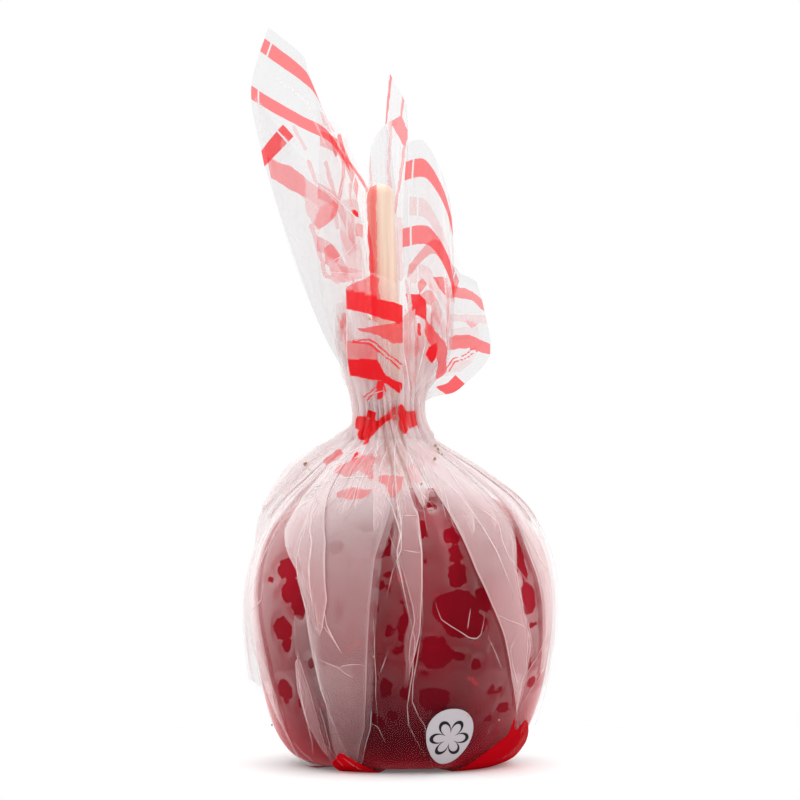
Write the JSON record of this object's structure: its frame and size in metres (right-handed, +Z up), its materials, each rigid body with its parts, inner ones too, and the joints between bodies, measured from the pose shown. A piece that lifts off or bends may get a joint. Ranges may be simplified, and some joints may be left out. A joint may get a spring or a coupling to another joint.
{
  "type": "toffee apple",
  "caption": "Whole apple in hard red toffee on a wooden stick, wrapped in a clear film bag that is gathered round the stick and opens above it into tall ears.",
  "frame": {"origin": "middle of the flat foot that the wrapped apple stands on", "axes": "+Z up along the apple's own axis, -Y towards the front of the plume, +X to the right seen from the front"},
  "size_m": [0.074, 0.0726, 0.17],
  "materials": {
    "red_toffee": "glossy deep red hard toffee",
    "pale_wood": "smooth untreated pale wood",
    "clear_film": "clear crisp film with red candy stripes above the neck"
  },
  "bodies": {
    "root": {"coated_apple": "red_toffee", "stick": "pale_wood", "film_wrap": "clear_film"}
  },
  "joints": []
}
